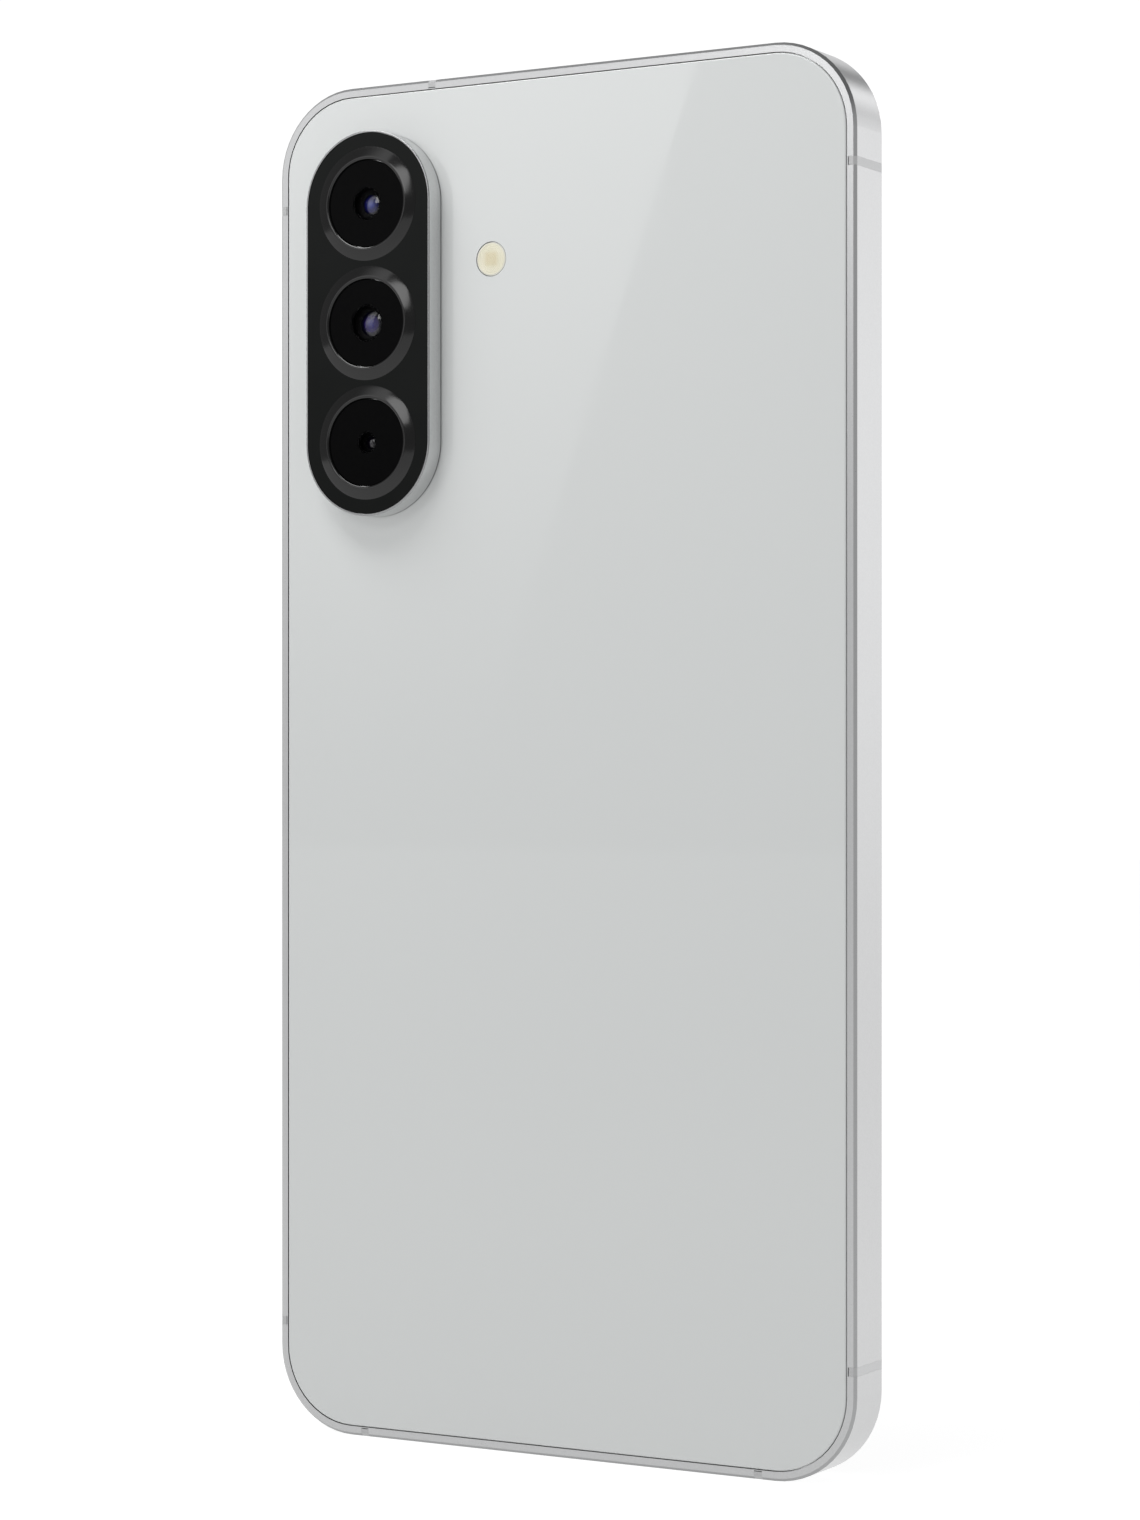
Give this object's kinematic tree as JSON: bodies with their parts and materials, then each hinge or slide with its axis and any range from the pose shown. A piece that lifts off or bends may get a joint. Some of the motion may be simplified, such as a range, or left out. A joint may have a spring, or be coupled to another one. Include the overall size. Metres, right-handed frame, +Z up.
{
  "type": "smartphone",
  "caption": "Slim upright slab phone with a pale glass back, metal frame and a raised pill-shaped camera island.",
  "frame": {"origin": "middle of the bottom edge, halfway through the phone's thickness at the back glass and the screen", "axes": "+Z up along the phone's length, +Y out of the back glass (screen faces -Y), +X towards the side with the keys"},
  "size_m": [0.0779, 0.0105, 0.1622],
  "materials": {
    "frame_metal": "satin blasted and anodised",
    "key_metal": "satin anodised",
    "ring_metal": "polished",
    "break_plastic": "satin",
    "screen_glass": "clear polished",
    "back_glass": "pale grey glass, polished, colour printed on its inside",
    "black_glass": "polished black glass",
    "lens_glass": "coated lens",
    "flash_lens": "clear over yellow phosphor",
    "panel": "display panel",
    "black_plastic": "moulded",
    "adhesive": "foam tape",
    "graphite": "graphite sheet",
    "board": "solder mask",
    "chip": "moulded chip",
    "can_metal": "nickel plated",
    "steel": "stainless",
    "screw_steel": "black zinc",
    "battery_wrap": "film over pouch",
    "flex_film": "polyimide film",
    "seal_rubber": "moulded",
    "mesh_metal": "black woven mesh",
    "heavy_metal": "sintered tungsten"
  },
  "bodies": {
    "phone": {"frame": "frame_metal", "antenna_breaks": "break_plastic", "screen_glass": "screen_glass", "screen_adhesive": "adhesive", "display_panel": "panel", "display_backing": "graphite", "earpiece_mesh": "mesh_metal", "fingerprint_sensor": "chip", "front_camera": "black_plastic", "back_glass": "back_glass", "back_adhesive": "adhesive", "heat_sheet": "graphite", "flash_window": "flash_lens", "flash_led": "chip", "island_ring": "ring_metal", "deck_adhesive": "adhesive", "island_deck": "black_glass", "lens_bezels": "black_glass", "lens_windows": "black_glass", "ultrawide_camera": "black_plastic", "main_camera": "black_plastic", "macro_camera": "black_plastic", "lens_glasses": "lens_glass", "camera_bracket": "steel", "main_board": "board", "front_shields": "can_metal", "back_shield": "can_metal", "processor": "chip", "board_chips": "chip", "thermal_pad": "adhesive", "board_connectors": "black_plastic", "sim_reader": "steel", "upper_cover": "black_plastic", "lower_cover": "black_plastic", "cover_screws": "screw_steel", "battery": "battery_wrap", "battery_adhesive": "adhesive", "battery_flex": "flex_film", "sub_board": "board", "usb_shell": "steel", "usb_tongue": "black_plastic", "usb_seal": "seal_rubber", "loudspeaker": "black_plastic", "speaker_mesh": "mesh_metal", "earpiece_speaker": "black_plastic", "microphones": "can_metal", "haptic_case": "can_metal", "board_flex": "flex_film", "key_domes": "steel", "key_flex": "flex_film", "key_bracket": "steel"},
    "power_key": {"power_key": "key_metal"},
    "volume_key": {"volume_key": "key_metal"},
    "sim_tray": {"sim_tray": "key_metal", "tray_seal": "seal_rubber"},
    "eject_rod": {"eject_rod": "steel"},
    "eject_lever": {"eject_lever": "steel"},
    "focus_barrel": {"main_lens_barrel": "black_plastic", "main_lens_glass": "lens_glass"},
    "haptic_mass": {"haptic_mass": "heavy_metal"}
  },
  "joints": [
    {"name": "power_press", "type": "slide", "parent": "phone", "child": "power_key", "axis": [-1, 0, 0], "range_m": [0, 0.00025], "stiffness_N_per_m": 6000},
    {"name": "volume_rock", "type": "hinge", "parent": "phone", "child": "volume_key", "pos_m": [0.03815, 0, 0.118], "axis": [0, 1, 0], "range_deg": [-1.2, 1.2], "stiffness_Nm_per_rad": 0.6},
    {"name": "tray_slide", "type": "slide", "parent": "phone", "child": "sim_tray", "axis": [0, 0, 1], "range_m": [0, 0.026]},
    {"name": "eject_push", "type": "slide", "parent": "phone", "child": "eject_rod", "axis": [0, 0, -1], "range_m": [0, 0.0008], "stiffness_N_per_m": 1500},
    {"name": "eject_turn", "type": "hinge", "parent": "phone", "child": "eject_lever", "pos_m": [-0.0235, 0.00145, 0.13235], "axis": [0, -1, 0], "range_deg": [0, 10.9]},
    {"name": "main_focus", "type": "slide", "parent": "phone", "child": "focus_barrel", "axis": [0, 1, 0], "range_m": [0, 0.0003], "stiffness_N_per_m": 300},
    {"name": "haptic_shake", "type": "slide", "parent": "phone", "child": "haptic_mass", "axis": [1, 0, 0], "range_m": [-0.0004, 0.0004], "stiffness_N_per_m": 900}
  ],
  "couplings": [
    {"joint": "eject_turn", "follows": "eject_push", "rad_per_m": 235}
  ]
}
